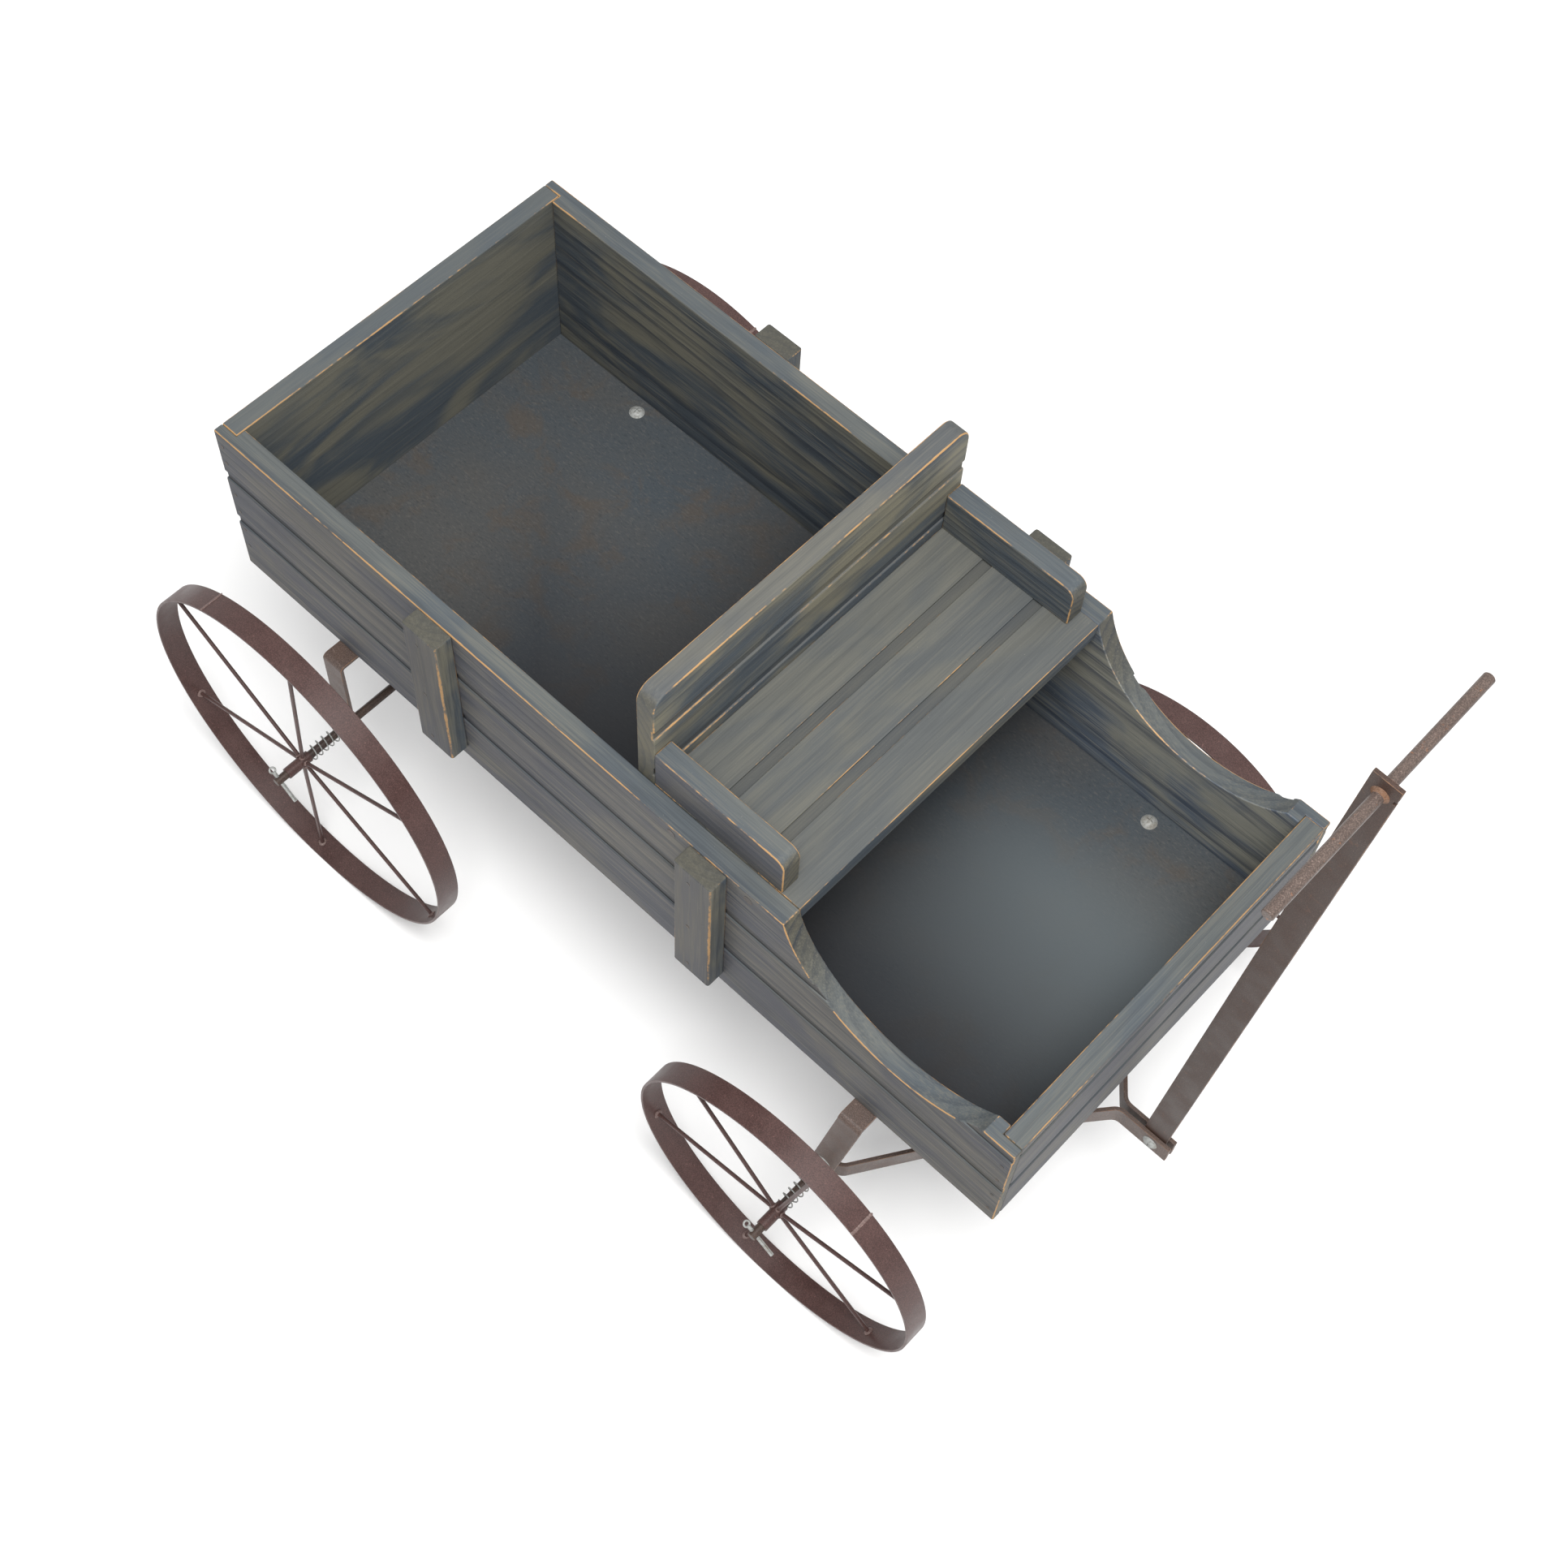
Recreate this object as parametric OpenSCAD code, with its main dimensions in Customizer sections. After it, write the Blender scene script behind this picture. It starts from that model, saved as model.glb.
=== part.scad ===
/* [Box] */
// Length of the box over its end boards
box_l = 717; // [600:1:900]
// Width of the box over its side boards
box_w = 316; // [250:1:420]
// Height of the side and rear boards
side_h = 158; // [130:1:200]
// Height of the front board and of the sides' front ends
front_h = 116; // [92:1:125]
// Thickness of every board
board_t = 15; // [12:0.5:19]
// Depth of the lap that holds each end board
lap_t = 7.5; // [5:0.5:10]
// Thickness of the floor panel
floor_t = 10; // [6:0.5:12]
// Height of the box's underside above the ground
underside_h = 243; // [200:1:290]

/* [Grooves] */
// Width of the decorative grooves
groove_w = 8; // [4:0.5:10]
// Depth of the decorative grooves
groove_d = 1.5; // [0.5:0.1:3]
// Distance between the two grooves of a box board
groove_pitch = 53; // [45:0.5:60]
// Height of the lower groove of the side and rear boards
side_groove_z = 55; // [45:0.5:65]
// Height of the lower groove of the front board
front_groove_z = 49; // [40:0.5:60]
// Distance between the two grooves of the seat stock
stock_groove_pitch = 44; // [36:0.5:50]

/* [Scoops] */
// Radius of the scoop in each side board
scoop_r = 100; // [80:1:110]
// Height of the lowest point of the scoop
scoop_low = 86.5; // [70:0.5:90]
// Distance from the scoop's middle to the front of the box
scoop_back = 95.5; // [90:0.5:140]

/* [Seat] */
// Width of the grooved stock of the seat and the backrest
stock_w = 124; // [100:1:150]
// How far the backrest hangs below the seat board
back_drop = 12; // [5:0.5:20]
// Radius of the backrest's top corners
back_corner_r = 12; // [5:0.5:20]
// Length of each armrest
arm_l = 109; // [80:1:120]
// Height of each armrest
arm_h = 36.5; // [25:0.5:50]
// Radius of the armrest's front corner
arm_corner_r = 8.5; // [3:0.5:15]
// Distance of the seat screws from the seat's edges
seat_screw_inset = 29; // [15:1:40]

/* [Slats] */
// Width of the upright slats
slat_w = 32; // [25:1:45]
// Thickness of the upright slats
slat_t = 15; // [10:0.5:20]
// Height of the slats' lower ends above the underside
slat_low = 14.5; // [5:0.5:25]
// Distance of the rear slats' middles from the rear of the box
rear_slat_x = 217.5; // [180:0.5:260]
// Distance of the front slats' middles from the front of the box
front_slat_back = 254; // [217:0.5:297]

/* [Axles and brackets] */
// Distance of the rear axle from the rear of the box
rear_axle_x = 107; // [80:1:140]
// Distance of the front axle from the front of the box
front_axle_back = 127; // [97:1:177]
// Diameter of the axle rods
axle_d = 6.5; // [5:0.1:8]
// Length of axle outside each hub
axle_tail = 10.4; // [8:0.1:15]
// Width of the flat bar of the brackets, straps and handle
bar_w = 19; // [16:0.5:25]
// Thickness of the flat bar
bar_t = 3; // [2:0.5:5]
// How far the bracket legs stand out from the box sides
bracket_reach = 16.5; // [12:0.5:25]
// Outer radius of the brackets' bends
bend_r = 4.5; // [4:0.5:8]
// Length of bracket leg below the axle
leg_tail = 9.5; // [8:0.5:15]
// How far the front legs lean back
front_leg_lean = 17.5; // [5:0.5:25]

/* [Wheels] */
// Diameter of the rear wheels
rear_wheel_d = 306; // [250:1:340]
// Diameter of the front wheels
front_wheel_d = 251; // [200:1:290]
// Width of the rims
rim_w = 19; // [15:0.5:25]
// Thickness of the rims
rim_t = 2; // [1.5:0.1:3]
// Number of spokes in each wheel
spoke_count = 6; // [5:1:8]
// Diameter of the spokes
spoke_d = 3; // [2.5:0.1:4]
// Length of the hub tubes
hub_l = 21.6; // [15:0.1:30]
// Wall of the hub tubes
hub_wall = 1.2; // [1:0.1:2]
// Distance from a hub's outer end to the spoke roots
spoke_inset = 15.6; // [10:0.1:18]
// Distance from a hub's outer end to the middle of the rim
rim_inset = 18.4; // [12:0.1:22]

/* [Springs and pins] */
// Room for the spring between bracket leg and hub
spring_room = 36.5; // [25:0.5:45]
// Outer diameter of the springs
spring_d = 12; // [10:0.5:14]
// Diameter of the spring wire
spring_wire = 1; // [0.8:0.1:1.4]
// Distance between the turns of the springs
spring_pitch = 5.4; // [4:0.1:7]
// Diameter of the closed cotter pins
pin_d = 2.9; // [2:0.1:3.2]
// Distance of the cotter pins from the axle ends
pin_inset = 3.5; // [2.5:0.1:5]
// Length of the cotter pins' legs beyond the axle's middle
pin_leg = 20; // [12:0.5:24]
// Distance of the cotter pins' eyes from the axle's middle
pin_eye = 9; // [8:0.5:12]

/* [Tow straps and handle] */
// Distance of the handle's pivot from the front of the box
tow_reach = 29; // [22:1:45]
// Gap between the front axle and the tow straps above it
strap_gap = 0.75; // [0.25:0.25:14.75]
// Length of strap ahead of the pivot
strap_nose = 15; // [10:1:25]
// Length over which the straps run side by side behind the pivot
strap_neck = 30; // [15:1:35]
// Bend radius of the straps
strap_bend_r = 10; // [5:0.5:15]
// Height of the straps' leg screws above the pivot
strap_screw_up = 5; // [0:0.5:5]
// Length of the handle above the pivot
handle_l = 554.5; // [400:0.5:650]
// Forward lean of the standing handle
handle_lean = 2.6; // [0:0.1:5]
// Diameter of the cross grip
grip_d = 7.5; // [6:0.5:10]
// Length of the cross grip
grip_l = 188; // [120:1:220]
// Distance of the cross grip below the handle's end
grip_inset = 13.4; // [8:0.1:30]

/* [Fasteners] */
// Diameter of the machine screws
screw_d = 5; // [4:0.5:6]
// Diameter of the machine screws' heads
head_d = 12; // [9:0.5:14]
// Height of the machine screws' heads
head_h = 3; // [2:0.5:4]
// Height of the nuts
nut_h = 4; // [3:0.5:5]
// Distance of the floor screws from the box's middle
floor_screw_y = 131; // [100:1:131]
// How far the floor screws sit ahead of the brackets' middles
floor_screw_ahead = 3; // [0:0.5:4]
// Shank diameter of the nails
nail_d = 1.8; // [1.4:0.1:2.5]
// Head diameter of the nails
nail_head_d = 3; // [2.5:0.1:4]
// Length of the nails
nail_l = 24; // [20:1:26]

/* [Hidden] */
$fn = 48;

wood = "#6f7b85";
floor_dark = "#34383c";
iron = "#65504b";
iron_grey = "#60544f";
zinc = "#c4c6c2";
rust = "#8a5a38";
nail_grey = "#4b453f";

// How far cutting shapes run past the faces that they cut
past = 1;
// Radial play of the hubs on the axles and of the handle on its screw
run_fit = 0.05;
// Radial play round rods and screws that don't turn
loose_fit = 0.2;
// Gap between the handle and each strap
side_gap = 0.3;
// How far nail and wood screw heads stand proud of the wood
proud = 0.2;

half_w = box_w / 2;
inner_y = half_w - board_t;
front_slat_x = box_l - front_slat_back;
front_axle_x = box_l - front_axle_back;
rear_drop = underside_h - rear_wheel_d / 2;
front_drop = underside_h - front_wheel_d / 2;
// Depth of the handle's pivot below the box
tow_drop = front_drop - axle_d / 2 - strap_gap - bar_w / 2;

scoop_x = box_l - scoop_back;
scoop_z = scoop_low + scoop_r;
seat_front_x = scoop_x - sqrt(pow(scoop_r, 2) - pow(scoop_z - side_h, 2));
seat_back_x = seat_front_x - stock_w;
seat_z = side_h - board_t;
back_z = seat_z - back_drop;

bracket_y = half_w + bracket_reach;
front_bracket_x = front_axle_x + front_leg_lean;
hub_in_y = bracket_y + spring_room;
hub_out_y = hub_in_y + hub_l;
axle_y = hub_out_y + axle_tail;
hub_bore_d = axle_d + 2 * run_fit;
hub_d = hub_bore_d + 2 * hub_wall;
pin_y = axle_y - pin_inset;
eye_r = 2.2;
pin_slit = 0.3;

tow_x = box_l + tow_reach;
strap_y = bar_t + side_gap;
strap_root_y = bracket_y - 1.5 * bar_t;
strap_screw_z = strap_screw_up - tow_drop;
handle_end_x = tow_x + handle_l * sin(handle_lean) + bar_w / 2 * cos(handle_lean);
handle_bore_d = screw_d + 2 * run_fit;
screw_hole_d = screw_d + 2 * loose_fit;
screw_tail = 2;

// The middle of the whole length lies over the origin
box_x = (max(rear_wheel_d / 2 - rear_axle_x, 0) - handle_end_x) / 2;

// Places its children in the box's own frame: rear face at x = 0, underside at z = 0
module at_box() {
    translate([box_x, 0, underside_h]) children();
}

// Turns its children to the right side when the side is -1
module on_side(side) {
    mirror([0, side < 0 ? 1 : 0, 0]) children();
}

// A rod along Y from y0 to y1
module rod_y(d, y0, y1) {
    translate([0, y0, 0]) rotate([-90, 0, 0]) cylinder(d = d, h = y1 - y0);
}

// Two grooves cut into the face z = 0 of a board that lies along X
module grooves(length, first, pitch) {
    for (k = [0, 1]) {
        translate([-past, first + k * pitch - groove_w / 2, -groove_d])
            cube([length + 2 * past, groove_w, groove_d + past]);
    }
}

// ---- Box ----

// One layer of a side board, low at its front end
module side_layer(x0, x1, y0, y1) {
    translate([x0, y0, 0]) cube([x1 - x0, y1 - y0, front_h]);
    translate([x0, y0, 0]) cube([scoop_x - x0, y1 - y0, side_h]);
}

module side_board(side) {
    on_side(side) difference() {
        union() {
            side_layer(0, box_l, half_w - lap_t, half_w);
            side_layer(board_t, box_l - board_t, inner_y, half_w - lap_t);
        }
        translate([scoop_x, 0, scoop_z]) rod_y(2 * scoop_r, inner_y - past, half_w + past, $fn = 128);
        translate([0, half_w, 0]) rotate([-90, 0, 0]) mirror([0, 1, 0])
            grooves(box_l, side_groove_z, groove_pitch);
    }
}

module side_board_left() {
    color(wood) at_box() side_board(1);
}

module side_board_right() {
    color(wood) at_box() side_board(-1);
}

// An upright end board with its grooved face at x = 0, facing -X
module end_board(height, first_groove) {
    width = box_w - 2 * lap_t;
    difference() {
        translate([0, -width / 2, 0]) cube([board_t, width, height]);
        translate([0, width / 2, 0]) rotate([90, 0, -90]) grooves(width, first_groove, groove_pitch);
    }
}

module rear_board() {
    color(wood) at_box() end_board(side_h, side_groove_z);
}

module front_board() {
    color(wood) at_box() translate([box_l, 0, 0]) mirror([1, 0, 0]) end_board(front_h, front_groove_z);
}

// Places its children at each of the four floor screws, under the box
module at_floor_screws() {
    for (x = [rear_axle_x, front_bracket_x], y = [-floor_screw_y, floor_screw_y]) {
        translate([x + floor_screw_ahead, y, 0]) children();
    }
}

module floor_panel() {
    color(floor_dark) at_box() difference() {
        translate([board_t, -inner_y, 0]) cube([box_l - 2 * board_t, 2 * inner_y, floor_t]);
        at_floor_screws() translate([0, 0, -past]) cylinder(d = screw_hole_d, h = floor_t + 2 * past);
    }
}

// ---- Slats ----

module slat(x, side) {
    on_side(side) translate([x - slat_w / 2, half_w, slat_low]) cube([slat_w, slat_t, side_h - slat_low]);
}

module slat_rear_left() {
    color(wood) at_box() slat(rear_slat_x, 1);
}

module slat_rear_right() {
    color(wood) at_box() slat(rear_slat_x, -1);
}

module slat_front_left() {
    color(wood) at_box() slat(front_slat_x, 1);
}

module slat_front_right() {
    color(wood) at_box() slat(front_slat_x, -1);
}

// ---- Seat ----

stock_groove_first = (stock_w - stock_groove_pitch) / 2;

module seat_board() {
    color(wood) at_box() difference() {
        translate([seat_back_x, -inner_y, seat_z]) cube([stock_w, 2 * inner_y, board_t]);
        translate([seat_front_x, -inner_y, side_h]) rotate([0, 0, 90])
            grooves(2 * inner_y, stock_groove_first, stock_groove_pitch);
    }
}

module backrest_board() {
    width = 2 * inner_y;
    color(wood) at_box() translate([seat_back_x, -inner_y, back_z]) difference() {
        rotate([90, 0, -90]) mirror([1, 0, 0]) linear_extrude(board_t) {
            square([width, stock_w - back_corner_r]);
            translate([back_corner_r, 0]) square([width - 2 * back_corner_r, stock_w]);
            for (y = [back_corner_r, width - back_corner_r]) {
                translate([y, stock_w - back_corner_r]) circle(r = back_corner_r);
            }
        }
        rotate([90, 0, 90]) grooves(width, stock_groove_first, stock_groove_pitch);
    }
}

module armrest(side) {
    on_side(side) translate([seat_back_x, inner_y, side_h]) rotate([90, 0, 0]) linear_extrude(board_t) {
        square([arm_l - arm_corner_r, arm_h]);
        square([arm_l, arm_h - arm_corner_r]);
        translate([arm_l - arm_corner_r, arm_h - arm_corner_r]) circle(r = arm_corner_r);
    }
}

module armrest_left() {
    color(wood) at_box() armrest(1);
}

module armrest_right() {
    color(wood) at_box() armrest(-1);
}

// ---- Brackets and axles ----

// The flat web of a bracket with its two bends, centred on x
module bracket_web(x) {
    bend_y = bracket_y - bend_r;
    translate([x - bar_w / 2, 0, 0]) rotate([90, 0, 90]) linear_extrude(bar_w) {
        translate([-bend_y, -bar_t]) square([2 * bend_y, bar_t]);
        for (side = [-1, 1]) {
            translate([side * bend_y, -bend_r]) intersection() {
                difference() {
                    circle(r = bend_r);
                    circle(r = bend_r - bar_t);
                }
                translate([side < 0 ? -bend_r : 0, 0]) square(bend_r);
            }
        }
    }
}

// Distance along X that a leg has leaned back at a height z below the box
function leg_shift(z, lean, drop) = lean * (-z - bend_r) / (drop - bend_r);

// Both legs of a bracket, with the holes for the axle
module bracket_legs(x, lean, drop) {
    z_end = -drop - leg_tail;
    x_end = x - leg_shift(z_end, lean, drop);
    outline = [
        [x - bar_w / 2, -bend_r], [x + bar_w / 2, -bend_r],
        [x_end + bar_w / 2, z_end], [x_end - bar_w / 2, z_end]
    ];
    for (side = [-1, 1]) {
        on_side(side) difference() {
            translate([0, bracket_y, 0]) rotate([90, 0, 0]) linear_extrude(bar_t) polygon(outline);
            translate([x - lean, 0, -drop])
                rod_y(axle_d + 2 * loose_fit, bracket_y - bar_t - past, bracket_y + past);
        }
    }
}

// The screw holes that a bracket shares with the floor panel
module floor_screw_holes() {
    at_floor_screws() translate([0, 0, -bar_t - past]) cylinder(d = screw_hole_d, h = bar_t + 2 * past);
}

module rear_bracket() {
    color(iron_grey) at_box() difference() {
        union() {
            bracket_web(rear_axle_x);
            bracket_legs(rear_axle_x, 0, rear_drop);
        }
        floor_screw_holes();
    }
}

strap_leg_x = front_bracket_x - leg_shift(strap_screw_z, front_leg_lean, front_drop);

module front_bracket() {
    color(iron_grey) at_box() difference() {
        union() {
            bracket_web(front_bracket_x);
            bracket_legs(front_bracket_x, front_leg_lean, front_drop);
        }
        floor_screw_holes();
        for (side = [-1, 1]) {
            on_side(side) translate([strap_leg_x, 0, strap_screw_z])
                rod_y(screw_hole_d, bracket_y - bar_t - past, bracket_y + past);
        }
    }
}

// Turns a cotter pin, or its hole, about the axle: its eye points up and back
module tilted(tilt) {
    rotate([0, tilt - 90, 0]) children();
}

rear_pin_tilt = 42;
front_pin_tilt = 32;

module axle(x, drop, tilt) {
    translate([x, 0, -drop]) difference() {
        rod_y(axle_d, -axle_y, axle_y);
        for (y = [-pin_y, pin_y]) {
            translate([0, y, 0]) tilted(tilt) cylinder(d = pin_d + 2 * loose_fit, h = 2 * axle_d, center = true);
        }
    }
}

module rear_axle() {
    color(iron_grey) at_box() axle(rear_axle_x, rear_drop, rear_pin_tilt);
}

module front_axle() {
    color(iron_grey) at_box() axle(front_axle_x, front_drop, front_pin_tilt);
}

// ---- Screws and nuts ----

// A pan-headed machine screw: the head rests on z = 0 and the shank points down
module machine_screw(length) {
    dome_r = (pow(head_d / 2, 2) + pow(head_h, 2)) / (2 * head_h);
    slot_l = 0.45 * head_d;
    slot_w = 0.1 * head_d;
    translate([0, 0, -length]) cylinder(d = screw_d, h = length + past);
    difference() {
        intersection() {
            translate([0, 0, head_h - dome_r]) sphere(r = dome_r);
            cylinder(d = head_d, h = head_h);
        }
        for (turn = [0, 90]) {
            rotate(turn) translate([-slot_l / 2, -slot_w / 2, head_h / 2]) cube([slot_l, slot_w, head_h]);
        }
    }
}

// A hexagon nut on the face z = 0, pointing down
module hex_nut() {
    flats = 1.6 * screw_d;
    translate([0, 0, -nut_h]) difference() {
        cylinder(d = flats / cos(30), h = nut_h, $fn = 6);
        translate([0, 0, -past]) cylinder(d = screw_d + 2 * run_fit, h = nut_h + 2 * past);
    }
}

module floor_screws() {
    color(zinc) at_box() at_floor_screws() translate([0, 0, floor_t])
        machine_screw(floor_t + bar_t + nut_h + screw_tail);
}

module floor_nuts() {
    color(zinc) at_box() at_floor_screws() translate([0, 0, -bar_t]) hex_nut();
}

// Places its children on a bracket leg's strap screw, pointing outwards along Z
module at_strap_screw(side, y) {
    on_side(side) translate([strap_leg_x, y, strap_screw_z]) rotate([-90, 0, 0]) children();
}

module strap_screws() {
    color(zinc) at_box() for (side = [-1, 1]) {
        at_strap_screw(side, bracket_y) machine_screw(2 * bar_t + nut_h + screw_tail);
    }
}

module strap_nuts() {
    color(zinc) at_box() for (side = [-1, 1]) {
        at_strap_screw(side, bracket_y - 2 * bar_t) hex_nut();
    }
}

// ---- Tow straps ----

function unit(v) = v / norm(v);

// Points of the arc that rounds the corner b of the path a, b, c
function round_corner(a, b, c, r, steps) =
    let (u = unit(a - b), v = unit(c - b), half = acos(u * v) / 2)
    let (middle = b + unit(u + v) * r / sin(half), reach = r / tan(half))
    let (from = b + u * reach - middle, to = b + v * reach - middle)
    [for (k = [0 : steps]) middle + r * unit(from * (1 - k / steps) + to * k / steps)];

// A path with its inner corners rounded
function round_path(p, r, steps) = [
    p[0],
    for (i = [1 : len(p) - 2]) each round_corner(p[i - 1], p[i], p[i + 1], r, steps),
    p[len(p) - 1]
];

// The direction square to a path at its point i
function path_normal(p, i) =
    let (before = unit(p[max(i, 1)] - p[max(i, 1) - 1]))
    let (after = unit(p[min(i, len(p) - 2) + 1] - p[min(i, len(p) - 2)]))
    let (along = unit(before + after))
    [-along[1], along[0]];

// The outline of a bar of thickness t that follows a path on its edge
function ribbon(p, t) = concat(
    [for (i = [0 : len(p) - 1]) p[i] + t / 2 * path_normal(p, i)],
    [for (i = [len(p) - 1 : -1 : 0]) p[i] - t / 2 * path_normal(p, i)]
);

// Length of strap behind its root that stays flat, and how far the neck's flare runs back and out
strap_lead = 2;
flare_l = 14;
flare_out = 16.7;

// The middle line of the left strap, seen from above
strap_corners = [
    [strap_leg_x - bar_w / 2, strap_root_y],
    [strap_leg_x + bar_w / 2 + strap_lead, strap_root_y],
    [tow_x - strap_neck - flare_l, strap_y + flare_out],
    [tow_x - strap_neck, strap_y],
    [tow_x + strap_nose, strap_y]
];

module tow_strap(side) {
    on_side(side) difference() {
        translate([0, 0, -tow_drop - bar_w / 2]) linear_extrude(bar_w)
            polygon(ribbon(round_path(strap_corners, strap_bend_r, 6), bar_t));
        translate([strap_leg_x, 0, strap_screw_z])
            rod_y(screw_hole_d, strap_root_y - bar_t / 2 - past, strap_root_y + bar_t / 2 + past);
        translate([tow_x, 0, -tow_drop]) rod_y(screw_hole_d, -past, strap_y + bar_t);
    }
}

module tow_strap_left() {
    color(iron_grey) at_box() tow_strap(1);
}

module tow_strap_right() {
    color(iron_grey) at_box() tow_strap(-1);
}

// ---- Handle ----

strap_out_y = strap_y + bar_t / 2;

module pivot_screw() {
    color(zinc) at_box() translate([tow_x, -strap_out_y, -tow_drop]) rotate([90, 0, 0])
        machine_screw(2 * strap_out_y + nut_h + screw_tail);
}

module pivot_nut() {
    color(zinc) at_box() translate([tow_x, strap_out_y, -tow_drop]) rotate([90, 0, 0]) hex_nut();
}

// Places its children in the handle's frame: pivot at the origin, bar along Z
module at_handle() {
    translate([tow_x, 0, -tow_drop]) rotate([0, handle_lean, 0]) children();
}

grip_z = handle_l - grip_inset;

module handle_bar() {
    notch_w = 3;
    notch_d = 1.8;
    color(iron_grey) at_box() at_handle() rotate([90, 0, 0]) linear_extrude(bar_t, center = true) difference() {
        union() {
            translate([-bar_w / 2, 0]) square([bar_w, handle_l]);
            circle(d = bar_w);
        }
        circle(d = handle_bore_d);
        translate([0, grip_z]) circle(d = grip_d);
        translate([bar_w / 2 - notch_d, grip_z]) square([2 * notch_d, notch_w]);
    }
}

// A round bar along Y with its ends broken by a small chamfer
module grip_rod() {
    chamfer = 0.6;
    rotate([90, 0, 0]) rotate_extrude() polygon([
        [0, -grip_l / 2], [grip_d / 2 - chamfer, -grip_l / 2], [grip_d / 2, chamfer - grip_l / 2],
        [grip_d / 2, grip_l / 2 - chamfer], [grip_d / 2 - chamfer, grip_l / 2], [0, grip_l / 2]
    ]);
}

module handle_grip() {
    color(iron_grey) at_box() at_handle() translate([0, 0, grip_z]) grip_rod();
}

// The fillet of weld on each side of the bar
module handle_welds() {
    weld_leg = 2;
    color(rust) at_box() at_handle() translate([0, 0, grip_z]) for (side = [-1, 1]) {
        on_side(side) translate([0, bar_t / 2, 0]) rotate([-90, 0, 0]) rotate_extrude() polygon([
            [grip_d / 2, 0], [grip_d / 2 + weld_leg, 0], [grip_d / 2, weld_leg]
        ]);
    }
}

// ---- Wheels ----

// Places its children at a wheel: axle along Y, the wheel's side away from the box
module at_wheel(x, drop, side) {
    translate([x, 0, -drop]) on_side(side) children();
}

module rim(wheel_d) {
    rim_y = hub_out_y - rim_inset;
    difference() {
        rod_y(wheel_d, rim_y - rim_w / 2, rim_y + rim_w / 2, $fn = 96);
        rod_y(wheel_d - 2 * rim_t, rim_y - rim_w / 2 - past, rim_y + rim_w / 2 + past, $fn = 96);
    }
}

// Round spokes from the hub's surface to the rim's inner face
module spokes(wheel_d, turn) {
    inner_r = wheel_d / 2 - rim_t;
    root_y = hub_out_y - spoke_inset;
    tip_y = hub_out_y - rim_inset;
    cone = atan((tip_y - root_y) / inner_r);
    for (k = [0 : spoke_count - 1]) {
        rotate([0, -turn - k * 360 / spoke_count, 0]) intersection() {
            difference() {
                translate([0, root_y, 0]) rotate([0, 90, cone]) cylinder(d = spoke_d, h = wheel_d);
                rod_y(hub_d, hub_in_y - past, hub_out_y + past);
            }
            rod_y(2 * inner_r, tip_y - rim_w, tip_y + rim_w, $fn = 96);
        }
    }
}

module hub() {
    difference() {
        rod_y(hub_d, hub_in_y, hub_out_y);
        rod_y(hub_bore_d, hub_in_y - past, hub_out_y + past);
    }
}

coil_steps = 16;
wire_sides = 8;

// Point j of the wire's outline at step k along a coil
function coil_point(k, j) =
    let (turn = 360 * k / coil_steps, round_j = 360 * j / wire_sides)
    let (r = (spring_d - spring_wire) / 2 + spring_wire / 2 * cos(round_j))
    [r * cos(turn), r * sin(turn), spring_pitch * k / coil_steps + spring_wire / 2 * sin(round_j)];

// An open coil spring round the axle, between the bracket leg and the hub
module spring() {
    length = spring_room - 2 * side_gap - spring_wire;
    rings = floor(coil_steps * length / spring_pitch);
    points = [for (k = [0 : rings], j = [0 : wire_sides - 1]) coil_point(k, j)];
    walls = [for (k = [0 : rings - 1], j = [0 : wire_sides - 1])
        let (next = (j + 1) % wire_sides)
        [k * wire_sides + j, (k + 1) * wire_sides + j, (k + 1) * wire_sides + next, k * wire_sides + next]];
    start = [for (j = [0 : wire_sides - 1]) j];
    end = [for (j = [wire_sides - 1 : -1 : 0]) rings * wire_sides + j];
    translate([0, bracket_y + side_gap + spring_wire / 2, 0]) rotate([-90, 0, 0])
        polyhedron(points, concat([start], walls, [end]));
}

// A cotter pin: two half-round legs closed to one round shank, and a round eye
module cotter_pin(tilt) {
    wire = pin_d / 2;
    translate([0, pin_y, 0]) tilted(tilt) {
        difference() {
            translate([0, 0, -pin_leg]) cylinder(d = pin_d, h = pin_leg + pin_eye - eye_r + wire / 2);
            translate([-pin_d, -pin_slit / 2, -pin_leg - past])
                cube([2 * pin_d, pin_slit, pin_leg + pin_eye - eye_r - wire]);
        }
        translate([0, 0, pin_eye]) rotate([0, 90, 0]) rotate_extrude() translate([eye_r, 0]) circle(d = wire);
    }
}

rear_left_turn = 15;
rear_right_turn = 26;
front_left_turn = 50;
front_right_turn = 17;

module rear_left_rim() {
    color(iron) at_box() at_wheel(rear_axle_x, rear_drop, 1) rim(rear_wheel_d);
}

module rear_left_spokes() {
    color(iron) at_box() at_wheel(rear_axle_x, rear_drop, 1) spokes(rear_wheel_d, rear_left_turn);
}

module rear_left_hub() {
    color(iron) at_box() at_wheel(rear_axle_x, rear_drop, 1) hub();
}

module rear_left_spring() {
    color(zinc) at_box() at_wheel(rear_axle_x, rear_drop, 1) spring();
}

module rear_left_pin() {
    color(zinc) at_box() at_wheel(rear_axle_x, rear_drop, 1) cotter_pin(rear_pin_tilt);
}

module rear_right_rim() {
    color(iron) at_box() at_wheel(rear_axle_x, rear_drop, -1) rim(rear_wheel_d);
}

module rear_right_spokes() {
    color(iron) at_box() at_wheel(rear_axle_x, rear_drop, -1) spokes(rear_wheel_d, rear_right_turn);
}

module rear_right_hub() {
    color(iron) at_box() at_wheel(rear_axle_x, rear_drop, -1) hub();
}

module rear_right_spring() {
    color(zinc) at_box() at_wheel(rear_axle_x, rear_drop, -1) spring();
}

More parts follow.
